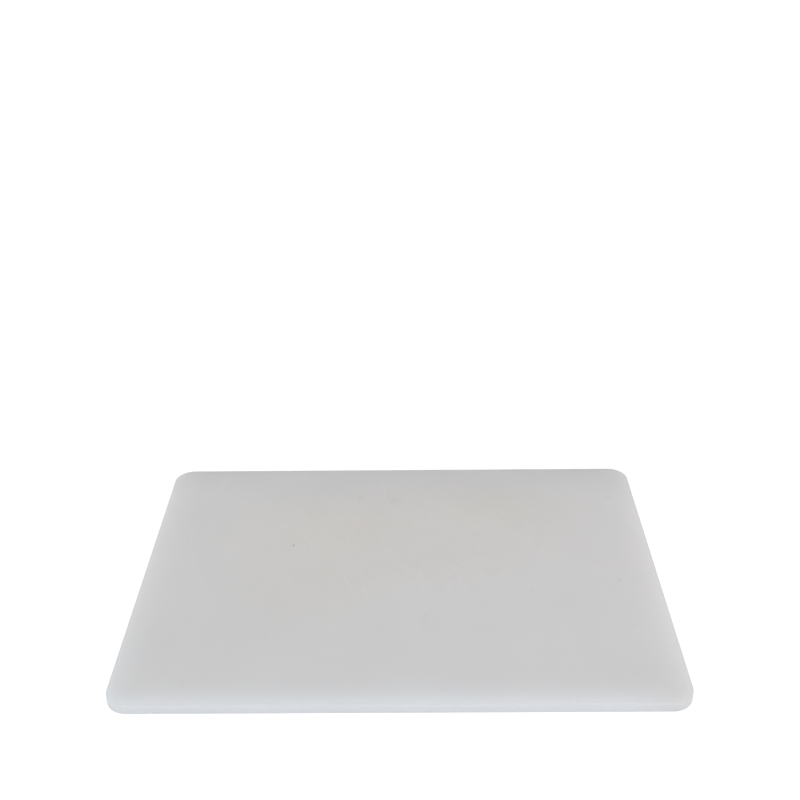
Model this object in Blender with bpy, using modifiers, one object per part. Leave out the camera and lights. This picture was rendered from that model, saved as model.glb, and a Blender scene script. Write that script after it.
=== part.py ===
"""Commercial cutting board: one solid slab of white high-density polyethylene.

Metres, +Z up. The origin is the centre of the face that the board lies on. +X runs along
the length, and +Y across the width, away from the person cutting.
"""

from math import radians

import bpy

INCH = 0.0254

# Driving dimensions.
LENGTH = 24 * INCH
WIDTH = 18 * INCH
THICKNESS = 0.5 * INCH
CORNER_RADIUS = 0.024
ARRIS_RADIUS = 0.0015

# Facets in each quarter turn of a plan corner, and in the rounding of an arris.
CORNER_SEGMENTS = 16
ARRIS_SEGMENTS = 4

# An arris turns through 90 degrees, and the facets of a plan corner through less than 6.
ARRIS_ANGLE = radians(60)

POLYETHYLENE_COLOR = (0.79, 0.785, 0.765, 1.0)
POLYETHYLENE_ROUGHNESS = 0.48


def clear_scene():
    for item in list(bpy.data.objects):
        bpy.data.objects.remove(item, do_unlink=True)


def make_collection(name):
    collection = bpy.data.collections.new(name)
    bpy.context.scene.collection.children.link(collection)
    return collection


def make_polyethylene():
    """Natural white polyethylene with a fine matte grain."""
    material = bpy.data.materials.new("polyethylene")
    material.use_nodes = True
    shader = material.node_tree.nodes["Principled BSDF"]
    shader.inputs["Base Color"].default_value = POLYETHYLENE_COLOR
    shader.inputs["Roughness"].default_value = POLYETHYLENE_ROUGHNESS
    shader.inputs["Metallic"].default_value = 0.0
    return material


def weight_upright_edges(mesh):
    """Give the four upright corner edges a full bevel weight, and every other edge none."""
    weights = mesh.attributes.new("bevel_weight_edge", "FLOAT", "EDGE")
    for edge in mesh.edges:
        first, second = (mesh.vertices[index].co for index in edge.vertices)
        upright = abs(first.z - second.z) > THICKNESS / 2
        weights.data[edge.index].value = 1.0 if upright else 0.0


def round_plan_corners(board):
    weight_upright_edges(board.data)
    bevel = board.modifiers.new("plan_corners", "BEVEL")
    bevel.limit_method = "WEIGHT"
    bevel.width = CORNER_RADIUS
    bevel.segments = CORNER_SEGMENTS


def ease_arrises(board):
    """Round the long edges of both faces, so that neither face has a sharp rim."""
    bevel = board.modifiers.new("eased_arrises", "BEVEL")
    bevel.limit_method = "ANGLE"
    bevel.angle_limit = ARRIS_ANGLE
    bevel.width = ARRIS_RADIUS
    bevel.segments = ARRIS_SEGMENTS
    bevel.harden_normals = True


def make_board(collection, material):
    """The whole board: a sheet cut to size, with its corners rounded and its arrises eased."""
    bpy.ops.mesh.primitive_cube_add(size=1.0, location=(0.0, 0.0, THICKNESS / 2))
    board = bpy.context.object
    board.name = "cutting_board"
    board.data.name = "cutting_board"
    board.scale = (LENGTH, WIDTH, THICKNESS)
    bpy.ops.object.transform_apply(location=False, rotation=False, scale=True)
    round_plan_corners(board)
    ease_arrises(board)
    board.data.shade_smooth()
    board.data.materials.append(material)
    for owner in list(board.users_collection):
        owner.objects.unlink(board)
    collection.objects.link(board)
    return board


clear_scene()
make_board(make_collection("commercial_cutting_board"), make_polyethylene())
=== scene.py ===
"""Looks of a commercial cutting board: white polyethylene, scored by knives and faintly stained.

The board lies on its underside with its origin at the centre of that face. +X runs along its
length and +Y away from the person cutting. Metres throughout.
"""

from collections import namedtuple
from math import cos, pi, radians, sin

import bpy
import numpy as np
from mathutils import Euler, Matrix, Vector
from mathutils.geometry import delaunay_2d_cdt


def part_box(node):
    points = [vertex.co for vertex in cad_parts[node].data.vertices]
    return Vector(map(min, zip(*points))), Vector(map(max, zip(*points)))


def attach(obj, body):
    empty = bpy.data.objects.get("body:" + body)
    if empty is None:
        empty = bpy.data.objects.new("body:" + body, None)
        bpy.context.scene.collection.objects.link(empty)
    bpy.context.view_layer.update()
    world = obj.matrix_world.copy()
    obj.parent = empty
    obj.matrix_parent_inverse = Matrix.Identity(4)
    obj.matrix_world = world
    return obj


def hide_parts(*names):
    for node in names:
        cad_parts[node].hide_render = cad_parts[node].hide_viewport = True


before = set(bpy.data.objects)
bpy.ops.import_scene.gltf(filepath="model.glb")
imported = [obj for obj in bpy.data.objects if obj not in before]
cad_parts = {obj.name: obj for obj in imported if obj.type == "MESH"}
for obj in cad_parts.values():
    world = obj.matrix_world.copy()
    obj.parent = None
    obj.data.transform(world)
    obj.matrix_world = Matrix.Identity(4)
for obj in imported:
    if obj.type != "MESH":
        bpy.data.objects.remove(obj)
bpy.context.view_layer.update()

# ---------------------------------------------------------------- sizes

NODE = "cutting_board"
LOW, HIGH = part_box(NODE)
HALF_LENGTH = (HIGH.x - LOW.x) / 2
HALF_WIDTH = (HIGH.y - LOW.y) / 2
THICKNESS = HIGH.z - LOW.z
CORNER_RADIUS = 0.024
ARRIS_RADIUS = 0.0015

CORNER_STEPS = 26
ARRIS_STEPS = 8
RIM_SPACING = 0.003
FLAT_MARGIN = 0.004

# ---------------------------------------------------------------- the rim


def core_corner(quarter):
    """The centre of a plan corner's arc. Quarters count anticlockwise from +X +Y."""
    side_x = 1 if quarter in (0, 3) else -1
    side_y = 1 if quarter in (0, 1) else -1
    return np.array((side_x * (HALF_LENGTH - CORNER_RADIUS), side_y * (HALF_WIDTH - CORNER_RADIUS)))


def walk_rim():
    """Points round the rim, anticlockwise: the arc centre behind each, and its outward way."""
    cores, ways = [], []
    for quarter in range(4):
        corner = core_corner(quarter)
        following = core_corner((quarter + 1) % 4)
        for step in range(CORNER_STEPS + 1):
            angle = pi / 2 * (quarter + step / CORNER_STEPS)
            cores.append(corner)
            ways.append((cos(angle), sin(angle)))
        run = following - corner
        pieces = round(np.hypot(*run) / RIM_SPACING)
        for piece in range(1, pieces):
            cores.append(corner + run * piece / pieces)
            ways.append(ways[-1])
    return np.array(cores), np.array(ways)


def rim_profile():
    """Rings from the top face's border to the underside's: inset, height and normal's tilt."""
    turn = np.linspace(pi / 2, 0, ARRIS_STEPS + 1)
    upper = [(ARRIS_RADIUS * (1 - cos(a)), THICKNESS - ARRIS_RADIUS * (1 - sin(a)), a) for a in turn]
    lower = [(inset, THICKNESS - height, -a) for inset, height, a in reversed(upper)]
    return upper + lower


# ---------------------------------------------------------------- knife cuts

# How much strokes differ: in place (in half sides of the used part), in angle (radians), in length
# (a ratio's logarithm, then the least and the greatest ratio), in half width, in depth (in half
# widths), in tone and in bow (in lengths).
STRAY_SPREAD = 0.22
ANGLE_SPREAD = 0.11
LENGTH_SPREAD = 0.6
LENGTH_LIMITS = (0.3, 4)
CUT_HALF_WIDTHS = (0.00009, 0.00022)
CUT_DEPTHS = (0.5, 0.9)
TONE_POWER = 1.5
BOW_SPREAD = 0.012
BOWED_FROM = 0.02

# How far from its middle a straight cut starts to narrow, in lengths.
SHOULDER = 0.36

# Depth of a long scratch and of a soiled scuff, in half widths.
SCRATCH_DEPTH = 0.4
SCUFF_DEPTH = 0.2

Cut = namedtuple("Cut", "points half_width depth tone soil", defaults=(0.0,))


def smooth_path(points, per_span=8):
    """A Catmull-Rom curve through the points, for a long scratch made in one sweep."""
    ends = [2 * points[0] - points[1], *points, 2 * points[-1] - points[-2]]
    path = []
    for before, start, end, after in zip(ends, ends[1:], ends[2:], ends[3:]):
        for step in range(per_span):
            t = step / per_span
            path.append(
                0.5
                * (
                    2 * start
                    + (end - before) * t
                    + (2 * before - 5 * start + 4 * end - after) * t**2
                    + (3 * start - before - 3 * end + after) * t**3
                )
            )
    path.append(points[-1])
    return np.array(path)


def cut_lines(cut):
    """The two lips and the bottom line of a groove that comes to a point at both ends."""
    points = cut.points
    way = np.gradient(points, axis=0)
    way /= np.linalg.norm(way, axis=1)[:, None]
    side = np.stack((-way[:, 1], way[:, 0]), axis=1) * cut.half_width
    return (points + side)[1:-1], (points - side)[1:-1], points


def groove_field(places, cuts):
    """How deep each place is cut, how bright the scored plastic is there, and how soiled."""
    depth, tone, soil = np.zeros((3, len(places)))
    for cut in cuts:
        low = cut.points.min(axis=0) - cut.half_width
        high = cut.points.max(axis=0) + cut.half_width
        near = np.flatnonzero(np.all((places > low) & (places < high), axis=1))
        if not len(near):
            continue
        spots = places[near]
        fullness = np.ones(len(cut.points))
        fullness[[0, -1]] = 0.0
        best = np.zeros(len(near))
        for k in range(len(cut.points) - 1):
            start, run = cut.points[k], cut.points[k + 1] - cut.points[k]
            along = np.clip((spots - start) @ run / (run @ run), 0, 1)
            away = np.linalg.norm(spots - start - along[:, None] * run, axis=1)
            full = fullness[k] + (fullness[k + 1] - fullness[k]) * along
            best = np.maximum(best, full - away / cut.half_width)
        depth[near] = np.maximum(depth[near], cut.depth * best)
        tone[near] = np.maximum(tone[near], cut.tone * best)
        soil[near] = np.maximum(soil[near], cut.soil * best)
    return depth, tone, soil


def inside_flat(points):
    """Whether every point is on the flat face, clear of the rounded corners and the arrises."""
    reach = CORNER_RADIUS - ARRIS_RADIUS - FLAT_MARGIN
    over = np.abs(points) - np.array((HALF_LENGTH - CORNER_RADIUS, HALF_WIDTH - CORNER_RADIUS))
    return bool(np.all(np.hypot(*np.maximum(over, 0).T) < reach))


def straight_cut(middle, angle, length, half_width, depth, tone, bow=0.0):
    """One stroke of a knife. bow is how far its middle stands off the straight line."""
    way = np.array((cos(angle), sin(angle)))
    side = np.array((-way[1], way[0]))
    inner = (-SHOULDER, 0.0, SHOULDER) if bow else (-SHOULDER, SHOULDER)
    stations = np.array((-0.5, *inner, 0.5))
    offs = bow * (1 - (2 * stations) ** 2)
    points = middle + np.outer(stations * length, way) + np.outer(offs, side)
    return Cut(points, half_width, depth, tone)


def knife_work(seed, count, centre, spread, ways, typical=0.017, faintest=0.25):
    """Strokes of about the typical length, scattered over the part of a face that gets used.

    spread is half the sides of that part, whose border is soft.
    """
    random = np.random.default_rng(seed)
    centre, spread = np.array(centre), np.array(spread)
    cuts = []
    while len(cuts) < count:
        middle = centre + spread * (random.uniform(-1, 1, 2) + random.normal(0, STRAY_SPREAD, 2))
        angle = random.choice(ways) + random.normal(0, ANGLE_SPREAD)
        length = typical * float(np.clip(random.lognormal(0, LENGTH_SPREAD), *LENGTH_LIMITS))
        half_width = random.uniform(*CUT_HALF_WIDTHS)
        depth = half_width * random.uniform(*CUT_DEPTHS)
        tone = random.uniform(faintest, 1.0) ** TONE_POWER
        bow = random.normal(0, BOW_SPREAD) * length if length > BOWED_FROM else 0.0
        cut = straight_cut(middle, angle, length, half_width, depth, tone, bow)
        if inside_flat(cut.points):
            cuts.append(cut)
    return cuts


# Long scratches that can be told apart on the working face: half width, tone, then the places
# that each passes through, from its start to its end.
LONG_SCRATCHES = (
    (0.00070, 1.0, ((-0.2273, 0.2176), (-0.2348, 0.1970), (-0.2438, 0.1761))),
    (0.00042, 1.0, ((-0.0260, 0.2160), (-0.0240, 0.1886), (-0.0165, 0.1450), (-0.0025, 0.1090))),
    (0.00027, 0.6, ((-0.2250, 0.1436), (-0.2050, 0.1486), (-0.1889, 0.1386), (-0.1840, 0.1236),
                    (-0.1859, 0.1035), (-0.1974, 0.0685), (-0.2124, 0.0260), (-0.2299, 0.0110),
                    (-0.2350, -0.0065))),
    (0.00030, 0.8, ((-0.2224, 0.1446), (-0.2473, 0.1210), (-0.2588, 0.0960), (-0.2608, 0.0685),
                    (-0.2548, 0.0335), (-0.2420, -0.0040), (-0.2340, -0.0200), (-0.2224, -0.0440),
                    (-0.2100, -0.0640))),
    (0.00028, 0.4, ((-0.1600, 0.0160), (-0.1350, 0.0205), (-0.0900, 0.0265))),
    (0.00028, 0.7, ((-0.0450, 0.0295), (-0.0060, 0.0355), (0.0330, 0.0417), (0.0605, 0.0440))),
    (0.00030, 0.9, ((-0.0780, 0.0090), (-0.0640, -0.0180), (-0.0505, -0.0478))),
    (0.00026, 0.8, ((-0.0530, 0.0090), (-0.0440, -0.0240), (-0.0340, -0.0600))),
    (0.00030, 1.0, ((0.1078, 0.1310), (0.1210, 0.1130), (0.1328, 0.0967))),
    (0.00024, 0.8, ((0.1180, 0.1130), (0.1290, 0.0970))),
    (0.00024, 0.7, ((-0.1300, 0.1160), (-0.1150, 0.0935))),
    (0.00024, 0.7, ((0.0520, 0.1520), (0.0680, 0.1210))),
    (0.00030, 0.7, ((-0.0175, -0.1355), (0.0100, -0.0990), (0.0375, -0.0615))),
    (0.00028, 0.7, ((0.0217, -0.0420), (0.0480, -0.0190), (0.0740, 0.0078))),
    (0.00028, 0.8, ((0.1036, -0.0047), (0.1170, 0.0120), (0.1300, 0.0300))),
    (0.00026, 0.6, ((0.0940, -0.0390), (0.1080, -0.0240), (0.1217, -0.0090))),
    (0.00028, 0.7, ((0.1230, -0.0080), (0.1360, 0.0060), (0.1530, 0.0215), (0.1650, 0.0350))),
    (0.00026, 0.5, ((0.1680, 0.0360), (0.1780, 0.0460), (0.1870, 0.0560))),
)

# Scuffs that have kept some dirt, given as places alone.
SOILED_SCUFFS = (
    ((-0.2420, -0.0900), (-0.2380, -0.0840), (-0.2330, -0.0770)),
    ((-0.2290, -0.0840), (-0.2272, -0.0910)),
    ((-0.2250, -0.0830), (-0.2222, -0.0890)),
    ((-0.2155, -0.0765), (-0.2165, -0.0880), (-0.2120, -0.0890), (-0.2105, -0.0840), (-0.2145, -0.0825)),
    ((-0.1960, -0.0860), (-0.1910, -0.0940), (-0.1850, -0.1020)),
    ((-0.2090, -0.0600), (-0.2050, -0.0680), (-0.2110, -0.0750)),
    ((-0.1860, -0.1040), (-0.1925, -0.1125), (-0.2000, -0.1225)),
    ((-0.2040, -0.1270), (-0.2095, -0.1345), (-0.2150, -0.1410)),
    ((-0.1325, -0.0810), (-0.1390, -0.0920), (-0.1455, -0.1010), (-0.1510, -0.1140)),
    ((-0.1190, -0.0800), (-0.1250, -0.0920), (-0.1310, -0.1040)),
    ((0.2650, 0.1440), (0.2700, 0.1500), (0.2725, 0.1560)),
)
SCUFF_HALF_WIDTH = 0.00026


def long_scratches():
    cuts = []
    for half_width, tone, places in LONG_SCRATCHES:
        path = smooth_path(np.array(places))
        cuts.append(Cut(path, half_width, half_width * SCRATCH_DEPTH, tone))
    for places in SOILED_SCUFFS:
        path = smooth_path(np.array(places), 4)
        cuts.append(Cut(path, SCUFF_HALF_WIDTH, SCUFF_HALF_WIDTH * SCUFF_DEPTH, 0.0, 1.0))
    return cuts


def working_face_cuts():
    ways = np.radians((46, 51, 57, 114, 118, 122, 127, 148))
    main = knife_work(11, 700, (0.045, 0.070), (0.165, 0.110), ways)
    stray = knife_work(12, 130, (0.0, 0.0), (0.27, 0.19), np.radians((45, 120, 95, 10, 160)))
    right = knife_work(14, 150, (0.105, 0.120), (0.085, 0.060), ways, 0.015, 0.6)
    nicks = knife_work(13, 90, (0.07, 0.08), (0.15, 0.10), ways, 0.0024)
    return long_scratches() + main + stray + right + nicks


def underside_cuts():
    return knife_work(21, 420, (-0.02, 0.01), (0.20, 0.14), np.radians((40, 58, 122, 135, 85)))


# ---------------------------------------------------------------- the mesh


def face_mesh(border, cuts):
    """Triangles over a flat face, with every groove's lips and bottom as edges.

    The border's points come first and keep their order.
    """
    points = [Vector(p) for p in border]
    ring = list(range(len(border)))
    edges = list(zip(ring, ring[1:] + ring[:1]))
    for cut in cuts:
        left, right, middle = cut_lines(cut)
        first = len(points)
        points += [Vector(p) for line in (middle, left, right) for p in line]
        centre = list(range(first, first + len(middle)))
        beside = [len(middle) + first + k for k in range(len(left))]
        for lip in (beside, [k + len(left) for k in beside]):
            lip = [centre[0], *lip, centre[-1]]
            edges += zip(lip, lip[1:])
        edges += zip(centre, centre[1:])
    found, _, faces, origins, _, _ = delaunay_2d_cdt(points, edges, [ring], 1, 1e-7, True)
    places = np.array([(p.x, p.y) for p in found])
    order = np.full(len(found), -1)
    for index, sources in enumerate(origins):
        ours = [s for s in sources if s < len(border)]
        if ours:
            order[index] = ours[0]
    return places, faces, order


def build_face(border_ring, cuts, height, up, vertices, marks, faces):
    """Adds one grooved face to the growing mesh. border_ring holds its border's vertex numbers."""
    border = np.array([vertices[k][:2] for k in border_ring])
    places, triangles, order = face_mesh(border, cuts)
    depth, tone, soil = groove_field(places, cuts)
    number = []
    for place, source, deep, *mark in zip(places, order, depth, tone, soil):
        if source >= 0:
            number.append(border_ring[source])
            continue
        number.append(len(vertices))
        vertices.append((place[0], place[1], height - up * deep))
        marks.append(mark)
    for triangle in triangles:
        corners = [number[k] for k in triangle]
        faces.append(corners if up > 0 else corners[::-1])


# Where each surface lies on the bake layout, a square one unit wide: the lower border and the height
# of the working face and of the underside, then the margin and the pitch of the rim's strips.
TOP_SHEET = (0.385, 0.61)
BELOW_SHEET = (0.055, 0.32)
STRIP_MARGIN = (0.005, 0.003)
STRIP_SIZE = (0.98, 0.009)
STRIP_PITCH = 0.0125
STRIPS = 4


def lay_out_for_bake(mesh, count, rounded, top_faces):
    """The working face takes most of the square, and the rim lies below both faces in strips."""
    corners = np.empty(len(mesh.loops), np.int32)
    mesh.loops.foreach_get("vertex_index", corners)
    places = np.array([vertex.co[:2] for vertex in mesh.vertices])[corners]
    sheet = places / (2 * HALF_LENGTH, 2 * HALF_WIDTH) + 0.5
    flat = 4 * rounded
    below = flat + 3 * top_faces
    sheet[flat:below, 1] = TOP_SHEET[0] + TOP_SHEET[1] * sheet[flat:below, 1]
    sheet[below:, 1] = BELOW_SHEET[0] + BELOW_SHEET[1] * sheet[below:, 1]

    profile = np.array(rim_profile())[:, :2]
    steps = np.hypot(*np.diff(profile, axis=0).T)
    down_rim = np.append(0, np.cumsum(steps)) / steps.sum()
    quads = np.arange(rounded)
    ring, station = np.divmod(quads, count)
    strip = STRIPS * station // count
    for corner, (down, along) in enumerate(((0, 0), (1, 0), (1, 1), (0, 1))):
        across = STRIPS * (station + along) / count - strip
        sheet[4 * quads + corner, 0] = STRIP_MARGIN[0] + STRIP_SIZE[0] * across
        lift = STRIP_PITCH * strip + STRIP_SIZE[1] * down_rim[ring + down]
        sheet[4 * quads + corner, 1] = STRIP_MARGIN[1] + lift
    layer = mesh.uv_layers.new(name="OFBake")
    layer.data.foreach_set("uv", sheet.astype(np.float32).ravel())


def build_board():
    cores, ways = walk_rim()
    count = len(cores)
    vertices, marks, faces = [], [], []
    ring_normals = []
    profile = rim_profile()
    for inset, height, tilt in profile:
        ring = cores + ways * (CORNER_RADIUS - inset)
        vertices += [(x, y, height) for x, y in ring]
        ring_normals += [(x * cos(tilt), y * cos(tilt), sin(tilt)) for x, y in ways]
    marks += [(0.0, 0.0)] * len(vertices)
    for ring in range(len(profile) - 1):
        for k in range(count):
            upper, lower = ring * count, (ring + 1) * count
            after = (k + 1) % count
            faces.append((upper + k, lower + k, lower + after, upper + after))
    rounded = len(faces)
    top_border = list(range(count))
    bottom_border = list(range(len(vertices) - count, len(vertices)))
    build_face(top_border, working_face_cuts(), THICKNESS, 1, vertices, marks, faces)
    top_faces = len(faces) - rounded
    build_face(bottom_border, underside_cuts(), 0.0, -1, vertices, marks, faces)

    mesh = bpy.data.meshes.new("board")
    mesh.from_pydata(vertices, [], faces)
    for name, values in zip(("scored", "soiled"), np.array(marks, np.float32).T):
        attribute = mesh.attributes.new(name, "FLOAT", "POINT")
        attribute.data.foreach_set("value", np.ascontiguousarray(values))
    lay_out_for_bake(mesh, count, rounded, top_faces)
    set_normals(mesh, ring_normals, rounded)
    board = bpy.data.objects.new("board", mesh)
    bpy.context.collection.objects.link(board)
    return board


def set_normals(mesh, ring_normals, rounded):
    """The rounded rim shades smooth and the two cut faces shade flat."""
    mesh.update()
    normals = []
    for polygon in mesh.polygons:
        if polygon.index < rounded:
            polygon.use_smooth = True
            normals += [ring_normals[v] for v in polygon.vertices]
        else:
            normals += [tuple(polygon.normal)] * len(polygon.vertices)
    mesh.normals_split_custom_set(normals)


# ---------------------------------------------------------------- material


class Shader:
    """Short calls for building a node tree."""

    def __init__(self, name):
        self.material = bpy.data.materials.new(name)
        self.material.use_nodes = True
        self.tree = self.material.node_tree
        self.surface = self.tree.nodes["Principled BSDF"]

    def add(self, kind, output=0, settings=None, **inputs):
        """A node, with inputs given by name; a number, colour or another node's output."""
        made = self.tree.nodes.new(kind)
        for key, value in (settings or {}).items():
            setattr(made, key, value)
        for key, value in inputs.items():
            self.feed(made.inputs[key.replace("_", " ")], value)
        return made.outputs[output]

    def feed(self, socket, value):
        if isinstance(value, bpy.types.NodeSocket):
            self.tree.links.new(value, socket)
        else:
            socket.default_value = value

    def math(self, operation, first, second=0.0, third=0.0):
        made = self.tree.nodes.new("ShaderNodeMath")
        made.operation = operation
        for socket, value in zip(made.inputs, (first, second, third)):
            self.feed(socket, value)
        return made.outputs[0]

    def remap(self, value, low, high, to_low=0.0, to_high=1.0, smooth=True):
        kind = {"interpolation_type": "SMOOTHSTEP" if smooth else "LINEAR"}
        limits = {"From_Min": low, "From_Max": high, "To_Min": to_low, "To_Max": to_high}
        return self.add("ShaderNodeMapRange", settings=kind, Value=value, **limits)

    def noise(self, where, scale, detail=2.0, roughness=0.5, output=0):
        looks = {"Scale": scale, "Detail": detail, "Roughness": roughness}
        return self.add("ShaderNodeTexNoise", output, Vector=where, **looks)

    def product(self, first, *others):
        for other in others:
            first = self.math("MULTIPLY", first, other)
        return first

    def axis(self, where, number):
        """One coordinate of a place: 0 for X, 1 for Y, 2 for Z."""
        return self.add("ShaderNodeSeparateXYZ", number, Vector=where)

    def brighten(self, color, factor):
        return self.add("ShaderNodeVectorMath", settings={"operation": "SCALE"}, Vector=color, Scale=factor)

    def tint(self, amount, color, tone):
        """Multiplies color by tone where amount is 1."""
        made = self.tree.nodes.new("ShaderNodeMix")
        made.data_type = "RGBA"
        made.blend_type = "MULTIPLY"
        # The colour kind's sockets go by number, because the other kinds' have the same names.
        self.feed(made.inputs[0], amount)
        self.feed(made.inputs[6], color)
        self.feed(made.inputs[7], (*tone, 1.0))
        return made.outputs[2]


# Colours are scene linear. A tone multiplies the plastic's own colour where a mark lies, or where light or
# shade is painted into it.
POLYETHYLENE = (0.765, 0.758, 0.757)
SCATTER = 0.010

# Painted light in the plastic's colour: the first three set a glow near the rim, the next two its cool
# colour on the top and on the sides, and the last painted shade on the arris.
RIM_GAIN = 0.095
RIM_REACH = 0.022
RIM_FALL = 1.8
RIM_COOL_LIGHT = (0.985, 1.012, 1.040)
SIDE_COOL_LIGHT = (0.990, 1.000, 1.008)
ARRIS_SHADE_PAINT = (0.922, 0.922, 0.922)

# The painted glow and its painted cool light are strongest along the near edge, which faces the front lamp:
# how they grow towards it along Y, their shares along the sides, and their shares at its right end, towards
# which they fade along X.
GLOW_TURN = (-0.19, -HALF_WIDTH)
COOL_TURN = (-0.10, -HALF_WIDTH)
RIGHT_END = (0.22, HALF_LENGTH - 0.010)
SIDE_GLOW = 0.70
SIDE_COOL = 0.15
END_GLOW = 0.40
END_COOL = 0.25

# The painted glow's values over the arris, which tell it from the face, and how far below the face, in
# arris radii, its band of painted shade starts and is full.
ARRIS_GLOW = (0.972, 0.993)
ARRIS_BAND = (1.4, 0.8)

# The scales of the noise, then its limits and what they give: brightness over clouds and grain,
# and roughness.
CLOUD_SCALE = 9.0
GRAIN_SCALE = 1500.0
CLOUDS = (0.3, 0.7, 0.993, 1.007)
GRAIN = (0.25, 0.75, 0.992, 1.008)
ROUGHNESS = (0.3, 0.7, 0.50, 0.58)
MARK_ROUGHNESS = 0.12
GRAIN_RELIEF = 0.35

HAIR_GAIN = 0.060
HAIR_DEPTH = 0.00006
CUT_GAIN = 0.125

# The hairlines' parts of each face: centre and half sizes. The top's are full out to a share of
# its part, and the underside's are fainter.
TOP_USED = ((0.0, 0.05), (0.29, 0.20))
TOP_FULL = 0.3
UNDERSIDE_USED = ((-0.02, 0.0), (0.30, 0.22))
UNDERSIDE_WEAR = 0.6

# How a stain's outline strays: the noise's scale, and how far.
LOOSE_WANDER = (6.0, 0.020)
TIGHT_WANDER = (210.0, 0.0026)

WARM = (0.998, 0.979, 0.937)
OLIVE = (0.998, 0.990, 0.963)
TAN = (0.982, 0.965, 0.942)
BROWN = (0.958, 0.938, 0.925)
ROSY = (0.985, 0.958, 0.950)
ORANGE = (0.980, 0.945, 0.895)
GRIME = (0.930, 0.895, 0.850)
# A tone of painted shade:
PAINTED_SHADE = (0.927, 0.930, 0.945)
PALE = (1.026, 1.022, 1.024)
# A tone of painted cool light:
COOL_LIGHT_PAINT = (1.000, 1.006, 1.010)
BLACK = (0.62, 0.58, 0.55)
# Painted shade along the far edge, then grime there that darkens it as painted shade too.
FAR_EDGE_SHADE = (0.960, 0.952, 0.947)
EDGE_GRIME_AND_SHADE = (0.920, 0.890, 0.848)

# How far in from the far edge its band of painted shade and its grime start and are full, and the noise
# that decides where grime has caught: its scale and its limits. The grime darkens the edge as painted shade
# too.
FAR_SHADE_BAND = (0.016, 0.002)
GRIME_BAND = (0.0055, 0.0015)
GRIME_SCALE = 40.0
GRIME_LIMITS = (0.36, 0.6)

# Broad patches of the working face: centre, half sizes, turn in degrees, strength. The warm, olive and tan
# ones are stains, the pale ones lighten the plastic, the grey ones are painted shade and the cool ones
# painted cool light.
PATCHES = (
    (WARM, (-0.005, 0.085), (0.31, 0.18), 0, 0.58),
    (WARM, (-0.095, 0.088), (0.120, 0.080), 10, 0.28),
    (WARM, (-0.100, -0.010), (0.110, 0.100), 0, 0.24),
    (TAN, (-0.056, 0.102), (0.044, 0.044), 0, 0.22),
    (OLIVE, (0.135, 0.135), (0.130, 0.080), -12, 0.9),
    (OLIVE, (-0.120, -0.060), (0.170, 0.120), 0, 0.28),
    (PALE, (0.300, 0.000), (0.14, 0.26), 0, 1.0),
    (PALE, (-0.300, 0.110), (0.075, 0.115), 0, 0.9),
    # Painted cool light along the near edge and the left end.
    (COOL_LIGHT_PAINT, (-0.050, -0.240), (0.46, 0.20), 0, 1.0),
    (COOL_LIGHT_PAINT, (-0.310, -0.030), (0.055, 0.26), 0, 0.9),
    # Painted shade: darker along the far edge, at its back corners, by the near right corner and in a faint
    # patch at the near left.
    (PAINTED_SHADE, (0.020, 0.250), (0.42, 0.165), 0, 0.86),
    (PAINTED_SHADE, (-0.250, 0.240), (0.12, 0.080), 0, 0.66),
    (PAINTED_SHADE, (0.235, 0.240), (0.13, 0.080), 0, 0.70),
    (PAINTED_SHADE, (-0.205, -0.115), (0.12, 0.09), 20, 0.12),
    (PAINTED_SHADE, (0.255, -0.185), (0.075, 0.055), 10, 0.15),
)

# Small stains and specks of the working face, given in the same way.
SPOTS = (
    (BROWN, (-0.0520, 0.1590), (0.0065, 0.0105), -25, 0.8),
    (BROWN, (-0.0090, 0.1496), (0.0070, 0.0105), -25, 0.45),
    (TAN, (-0.0080, 0.1505), (0.0170, 0.0200), 0, 0.40),
    (TAN, (-0.1174, 0.1226), (0.0080, 0.0170), 10, 0.5),
    (BROWN, (0.2723, 0.1571), (0.0040, 0.0090), -20, 1.0),
    (BROWN, (0.2573, 0.1230), (0.0032, 0.0036), 0, 1.0),
    (TAN, (0.1089, -0.0035), (0.0095, 0.0100), 30, 0.65),
    (TAN, (0.1539, -0.0425), (0.0055, 0.0120), 5, 0.75),
    (ROSY, (0.0275, -0.0875), (0.0080, 0.0220), -40, 0.50),
    (ROSY, (0.0799, -0.0865), (0.0060, 0.0170), 80, 0.35),
    (ORANGE, (-0.2284, -0.1930), (0.0055, 0.0065), 15, 0.55),
    (ORANGE, (-0.2255, -0.1985), (0.0055, 0.0050), 15, 0.35),
    (GRIME, (-0.1480, -0.1210), (0.0022, 0.0036), -15, 0.7),
    (BLACK, (-0.1314, 0.0520), (0.0024, 0.0030), 10, 1.0),
    (BLACK, (-0.0809, -0.0380), (0.0010, 0.0013), 0, 0.6),
    (BLACK, (0.2573, -0.0240), (0.0013, 0.0019), 0, 0.8),
    (BLACK, (0.1822, -0.2268), (0.0016, 0.0010), 0, 0.6),
    (GRIME, (0.1915, -0.2266), (0.0040, 0.0010), 0, 0.35),
    (GRIME, (0.2010, -0.2267), (0.0028, 0.0010), 0, 0.30),
)

# Fine scoring too narrow to cut into the mesh: way in degrees, then the length and the width
# of the lane that holds each stroke.
HAIRLINES = (
    (48, 0.015, 0.0026),
    (56, 0.011, 0.0030),
    (113, 0.012, 0.0022),
    (119, 0.016, 0.0020),
    (126, 0.013, 0.0023),
    (152, 0.012, 0.0048),
    (88, 0.014, 0.0044),
)
HAIR_HALF_WIDTH = 0.00026
HAIR_LEAN = 1.1

# How far each family is shifted, a stroke's least half length and how much longer it can be, how
# much of it fades at each end, all three in lane lengths, and how rare strong strokes are.
HAIR_SHIFT = (0.0137, 0.0071)
HAIR_REACH = 0.2
HAIR_EXTRA = 0.3
HAIR_FADE = 0.08
HAIR_POWER = 3.0

# Only the specks whose chance is over the first value show, and they are full at the second.
SPECK_SPACING = 0.015
SPECK_RADIUS = 0.0006
SPECK_CHANCES = (0.7, 1.0)


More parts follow.
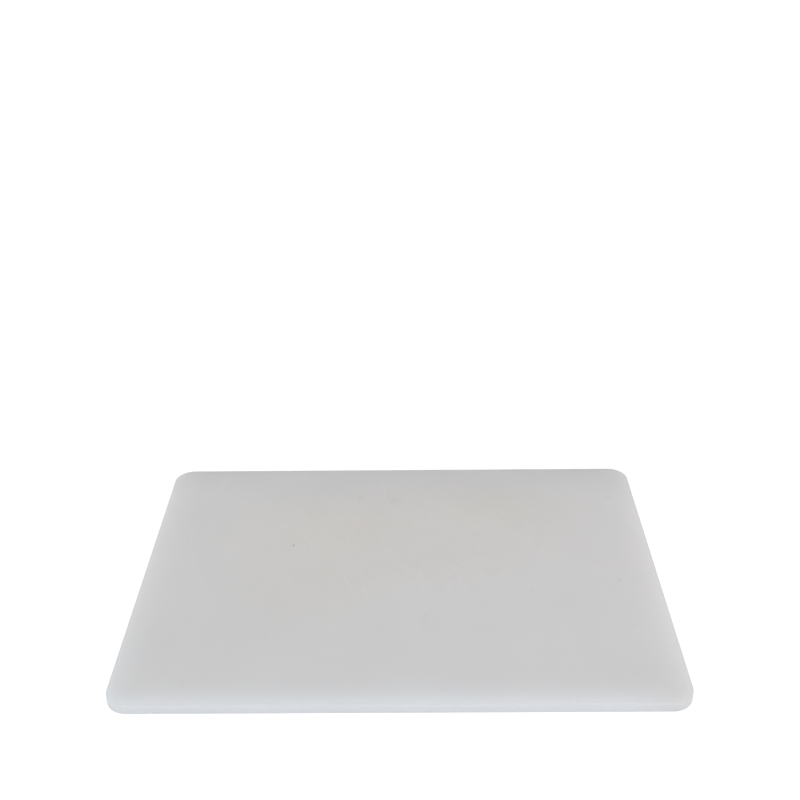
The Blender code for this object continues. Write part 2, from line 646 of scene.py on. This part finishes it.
def painted_rim_glow(shader, place):
    """Painted light: 1 at the rim, falling away over the few centimetres that light leaks in through it.

    The far side has none, as no lamp stands behind the board.
    """
    parts = shader.add("ShaderNodeSeparateXYZ", Vector=place).node
    across = shader.math("ABSOLUTE", parts.outputs[0])
    nearer = shader.math("MULTIPLY", parts.outputs[1], -1.0)
    over_x = shader.math("SUBTRACT", across, HALF_LENGTH - CORNER_RADIUS)
    over_y = shader.math("SUBTRACT", nearer, HALF_WIDTH - CORNER_RADIUS)
    outer_x = shader.math("MAXIMUM", over_x, 0.0)
    outer_y = shader.math("MAXIMUM", over_y, 0.0)
    squares = shader.math("ADD", shader.product(outer_x, outer_x), shader.product(outer_y, outer_y))
    inner = shader.math("MINIMUM", shader.math("MAXIMUM", over_x, over_y), 0.0)
    reached = shader.math("ADD", shader.math("SQRT", squares), inner)
    inset = shader.math("MAXIMUM", shader.math("SUBTRACT", CORNER_RADIUS, reached), 0.0)
    ratio = shader.math("DIVIDE", inset, RIM_REACH)
    power = shader.math("POWER", ratio, RIM_FALL)
    return shader.math("EXPONENT", shader.math("MULTIPLY", power, -1.0))


def patch(shader, where, centre, reach, turn, height, inner=0.0):
    """1 in the middle of an oval on one face, falling smoothly to 0 at its edge."""
    flat = shader.add(
        "ShaderNodeMapping",
        settings={"vector_type": "TEXTURE"},
        Vector=where,
        Location=(*centre, height),
        Rotation=(0.0, 0.0, radians(turn)),
        Scale=(*reach, 1.0),
    )
    away = shader.add("ShaderNodeVectorMath", "Value", {"operation": "LENGTH"}, Vector=flat)
    return shader.remap(away, 1.0, inner)


def wander(shader, place, scale, reach):
    """The same places, moved about by up to reach, so that a stain's outline isn't a plain oval."""
    drift = shader.noise(place, scale, detail=3.0, output="Color")
    centred = shader.add("ShaderNodeVectorMath", settings={"operation": "SUBTRACT"}, Vector=drift)
    centred.node.inputs[1].default_value = (0.5, 0.5, 0.5)
    scaled = shader.brighten(centred, 2 * reach)
    moved = shader.tree.nodes.new("ShaderNodeVectorMath")
    moved.operation = "ADD"
    shader.feed(moved.inputs[0], place)
    shader.feed(moved.inputs[1], scaled)
    return moved.outputs[0]


def hairline(shader, place, number, way, length, lane):
    """One family of straight hairline strokes: each lies in its own cell of a slanting lane."""
    turned = shader.add(
        "ShaderNodeMapping",
        settings={"vector_type": "TEXTURE"},
        Vector=place,
        Location=(HAIR_SHIFT[0] * number, HAIR_SHIFT[1] * number, 0.0),
        Rotation=(0.0, 0.0, radians(way)),
        Scale=(length, lane, 1.0),
    )
    parts = shader.add("ShaderNodeSeparateXYZ", Vector=turned).node
    row = shader.math("FLOOR", parts.outputs[1])
    shift = shader.add(
        "ShaderNodeTexWhiteNoise",
        settings={"noise_dimensions": "1D"},
        W=shader.math("ADD", row, 100.0 * number + 0.5),
    )
    along = shader.math("ADD", parts.outputs[0], shift)
    cell = shader.add("ShaderNodeCombineXYZ", X=shader.math("FLOOR", along), Y=row, Z=float(number))
    chance = shader.add("ShaderNodeTexWhiteNoise", "Color", Vector=cell)
    drawn = shader.add("ShaderNodeSeparateColor", Color=chance).node
    reach = shader.math("SUBTRACT", shader.math("FRACT", along), 0.5)
    side = shader.math("SUBTRACT", shader.math("FRACT", parts.outputs[1]), drawn.outputs[0])
    lean = shader.math("MULTIPLY", shader.math("SUBTRACT", drawn.outputs[1], 0.5), HAIR_LEAN)
    away = shader.math("ABSOLUTE", shader.math("MULTIPLY_ADD", reach, lean, side))
    across = shader.remap(away, HAIR_HALF_WIDTH / lane, 0.0)
    extent = shader.math("MULTIPLY_ADD", drawn.outputs[2], HAIR_EXTRA, HAIR_REACH)
    left = shader.math("SUBTRACT", extent, shader.math("ABSOLUTE", reach))
    ends = shader.remap(left, 0.0, HAIR_FADE)
    strength = shader.math("POWER", drawn.outputs[2], HAIR_POWER)
    return shader.product(across, ends, strength)


def scoring(shader, place, used):
    """Crossing hairline cuts: bright where a knife has scratched, over the used part of a face."""
    total = 0.0
    for number, (way, length, lane) in enumerate(HAIRLINES):
        total = shader.math("ADD", hairline(shader, place, number, way, length, lane), total)
    return shader.math("MULTIPLY", shader.math("MINIMUM", total, 1.0), used)


def specks(shader, place):
    """Dark specks, thinly and evenly scattered: most cells hold a faint one or none."""
    cells = shader.add(
        "ShaderNodeTexVoronoi",
        settings={"voronoi_dimensions": "2D"},
        Vector=place,
        Scale=1 / SPECK_SPACING,
    )
    size = SPECK_RADIUS / SPECK_SPACING
    chance = shader.add("ShaderNodeSeparateColor", Color=cells.node.outputs["Color"])
    shown = shader.remap(chance, *SPECK_CHANCES)
    return shader.product(shader.remap(cells, size, size / 3), shown)


def plain_plastic(shader, place, cloud):
    """The plastic: cloudy, with painted light making it lighter and cooler towards the rim, and painted
    shade dulling the arris.
    """
    along, far, height = (shader.axis(place, number) for number in range(3))
    # A glow of painted light near the rim, strongest along the near edge and fading towards the right end.
    glow = painted_rim_glow(shader, place)
    front = shader.remap(along, *RIGHT_END, 1.0, END_GLOW)
    lit = shader.product(glow, shader.remap(far, *GLOW_TURN, SIDE_GLOW, front))
    color = shader.add("ShaderNodeRGB")
    color.default_value = (*POLYETHYLENE, 1.0)
    color = shader.brighten(color, shader.math("MULTIPLY_ADD", lit, RIM_GAIN, shader.remap(cloud, *CLOUDS)))
    cool = shader.product(
        glow,
        shader.remap(far, *COOL_TURN, SIDE_COOL, 1.0),
        shader.remap(along, *RIGHT_END, 1.0, END_COOL),
    )
    # Painted cool light near the rim, strongest along the near edge.
    color = shader.tint(cool, color, RIM_COOL_LIGHT)
    # Painted shade dulls the arris, and the sides below it take their own painted cool light.
    raised = shader.remap(height, *(THICKNESS - depth * ARRIS_RADIUS for depth in ARRIS_BAND))
    color = shader.tint(shader.product(shader.remap(glow, *ARRIS_GLOW), raised), color, ARRIS_SHADE_PAINT)
    return shader.tint(shader.product(cool, shader.math("SUBTRACT", 1.0, raised)), color, SIDE_COOL_LIGHT)


def add_stains_and_painted_light(shader, color, place, loose, on_top):
    """The working face's stains, its painted shade and painted cool light, then along the far edge painted
    shade and grime that darkens it as painted shade too.
    """
    tight = wander(shader, place, *TIGHT_WANDER)
    for where, stains in ((loose, PATCHES), (tight, SPOTS)):
        for tone, centre, reach, turn, strength in stains:
            amount = shader.product(patch(shader, where, centre, reach, turn, THICKNESS), strength, on_top)
            color = shader.tint(amount, color, tone)
    # Painted shade along the far edge, and grime that is partly painted shade.
    far = shader.axis(place, 1)
    far_shade = shader.remap(far, *(HALF_WIDTH - inset for inset in FAR_SHADE_BAND))
    color = shader.tint(far_shade, color, FAR_EDGE_SHADE)
    caught = shader.remap(shader.noise(place, GRIME_SCALE, detail=4.0), *GRIME_LIMITS)
    edge = shader.remap(far, *(HALF_WIDTH - inset for inset in GRIME_BAND))
    return shader.tint(shader.product(caught, edge), color, EDGE_GRIME_AND_SHADE)


def used_parts(shader, loose, on_top, below):
    """Where the hairlines are: the middle of the working face, and more faintly of the underside."""
    top = shader.product(patch(shader, loose, *TOP_USED, 0, THICKNESS, TOP_FULL), on_top)
    under = shader.product(patch(shader, loose, *UNDERSIDE_USED, 0, 0.0), below)
    return shader.math("ADD", top, shader.product(under, UNDERSIDE_WEAR))


def polyethylene():
    shader = Shader("polyethylene")
    place = shader.add("ShaderNodeTexCoord", "Object")
    height = shader.axis(place, 2)
    on_top = shader.remap(height, THICKNESS - ARRIS_RADIUS, THICKNESS - ARRIS_RADIUS / 3)
    below = shader.remap(height, ARRIS_RADIUS, ARRIS_RADIUS / 3)
    cloud = shader.noise(place, CLOUD_SCALE, detail=3.0)
    loose = wander(shader, place, *LOOSE_WANDER)
    color = plain_plastic(shader, place, cloud)
    color = add_stains_and_painted_light(shader, color, place, loose, on_top)

    # Knife marks: the modelled cuts, and hairlines too fine to model.
    hairs = scoring(shader, place, used_parts(shader, loose, on_top, below))
    scored = shader.add("ShaderNodeAttribute", "Fac", {"attribute_name": "scored"})
    soiled = shader.add("ShaderNodeAttribute", "Fac", {"attribute_name": "soiled"})
    cuts = shader.math("MULTIPLY_ADD", scored, CUT_GAIN, 1.0)
    color = shader.brighten(color, shader.math("MULTIPLY_ADD", hairs, HAIR_GAIN, cuts))
    color = shader.tint(soiled, color, GRIME)
    color = shader.tint(shader.product(specks(shader, place), on_top), color, GRIME)

    # Matte grain.
    grain = shader.noise(place, GRAIN_SCALE, detail=3.0, roughness=0.6)
    color = shader.brighten(color, shader.remap(grain, *GRAIN, smooth=False))

    marks = shader.math("ADD", hairs, scored)
    rough = shader.math("MULTIPLY_ADD", marks, MARK_ROUGHNESS, shader.remap(cloud, *ROUGHNESS))
    relief = shader.math("MULTIPLY_ADD", hairs, -1.0, shader.product(grain, GRAIN_RELIEF))
    bump = shader.add("ShaderNodeBump", Height=relief, Strength=0.5, Distance=HAIR_DEPTH)
    surface = shader.surface
    shader.feed(surface.inputs["Normal"], bump)
    shader.feed(surface.inputs["Roughness"], rough)
    shader.feed(surface.inputs["Base Color"], color)
    surface.inputs["IOR"].default_value = 1.5
    surface.inputs["Specular IOR Level"].default_value = 0.35
    surface.inputs["Subsurface Weight"].default_value = 1.0
    surface.inputs["Subsurface Radius"].default_value = (1.0, 0.95, 0.9)
    surface.inputs["Subsurface Scale"].default_value = SCATTER
    return shader.material


# ---------------------------------------------------------------- the stage


FLOOR_RADIUS = 30
FLOOR_DROP = 0.0002

# FLOOR_LIFT is the floor's own light, and FLOOR_GLOW and SKY_GLOW are what the camera sees on top
# of the light that reaches the board, so that both come out white.
FLOOR_COLOR = (0.6, 0.6, 0.6)
FLOOR_LIFT = 0.275
FLOOR_GLOW = 0.38
SKY = 0.612
SKY_GLOW = 1.0 - SKY

# Soft lamps, aimed at the origin: name, place, size, power in watts, colour.
LIGHTS = (
    ("front", (0.1, -1.4, 1.0), (1.8, 0.7), 4.3, (0.87, 0.95, 1.0)),
    ("right", (1.4, -0.4, 1.2), (1.2, 0.8), 3.1, (1.0, 0.90, 0.965)),
    ("left", (-1.5, -0.1, 1.0), (1.2, 0.8), 2.2, (0.925, 1.0, 0.94)),
)

CAMERA_PLACE = (0.0149, -1.1279, 0.8427)
CAMERA_DOWN = radians(28.03)
CAMERA_TURN = radians(0.633)
CAMERA_ROLL = radians(-0.713)
CAMERA_LENS = 52.25


def make_floor():
    place = (0, 0, -FLOOR_DROP)
    bpy.ops.mesh.primitive_circle_add(vertices=96, radius=FLOOR_RADIUS, fill_type="NGON", location=place)
    floor = bpy.context.object
    floor.name = "floor"
    shader = Shader("pale_floor")
    surface = shader.surface
    surface.inputs["Base Color"].default_value = (*FLOOR_COLOR, 1.0)
    surface.inputs["Roughness"].default_value = 0.9
    surface.inputs["Emission Color"].default_value = (1.0, 1.0, 1.0, 1.0)
    seen = shader.add("ShaderNodeLightPath", "Is Camera Ray")
    light = shader.math("MULTIPLY_ADD", seen, FLOOR_GLOW, FLOOR_LIFT)
    shader.feed(surface.inputs["Emission Strength"], light)
    floor.data.materials.append(shader.material)


def make_sky():
    """An even white sky that looks as white as the floor, but lights the board less."""
    world = bpy.data.worlds.new("studio")
    world.use_nodes = True
    tree = world.node_tree
    background = tree.nodes["Background"]
    background.inputs["Color"].default_value = (1.0, 1.0, 1.0, 1.0)
    seen = tree.nodes.new("ShaderNodeLightPath").outputs["Is Camera Ray"]
    strength = tree.nodes.new("ShaderNodeMath")
    strength.operation = "MULTIPLY_ADD"
    tree.links.new(seen, strength.inputs[0])
    strength.inputs[1].default_value = SKY_GLOW
    strength.inputs[2].default_value = SKY
    tree.links.new(strength.outputs[0], background.inputs["Strength"])
    bpy.context.scene.world = world


def make_lights():
    for name, place, size, power, color in LIGHTS:
        lamp = bpy.data.lights.new(name, "AREA")
        lamp.shape = "RECTANGLE"
        lamp.size, lamp.size_y = size
        lamp.energy = power
        lamp.color = color
        holder = bpy.data.objects.new(name, lamp)
        holder.location = place
        holder.rotation_mode = "QUATERNION"
        holder.rotation_quaternion = (-Vector(place)).to_track_quat("-Z", "Y")
        bpy.context.collection.objects.link(holder)


def make_camera():
    data = bpy.data.cameras.new("camera")
    data.lens = CAMERA_LENS
    data.sensor_width = 36
    camera = bpy.data.objects.new("camera", data)
    aim = Euler((pi / 2 - CAMERA_DOWN, 0, CAMERA_TURN)).to_matrix()
    aim = aim @ Matrix.Rotation(CAMERA_ROLL, 3, "Z")
    camera.matrix_world = Matrix.Translation(CAMERA_PLACE) @ aim.to_4x4()
    bpy.context.collection.objects.link(camera)
    bpy.context.scene.camera = camera


# ---------------------------------------------------------------- assembly

bpy.context.scene.view_settings.view_transform = "Standard"
make_camera()
make_sky()
make_lights()
make_floor()

board = build_board()
board.data.materials.append(polyethylene())
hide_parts(NODE)
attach(board, "root")
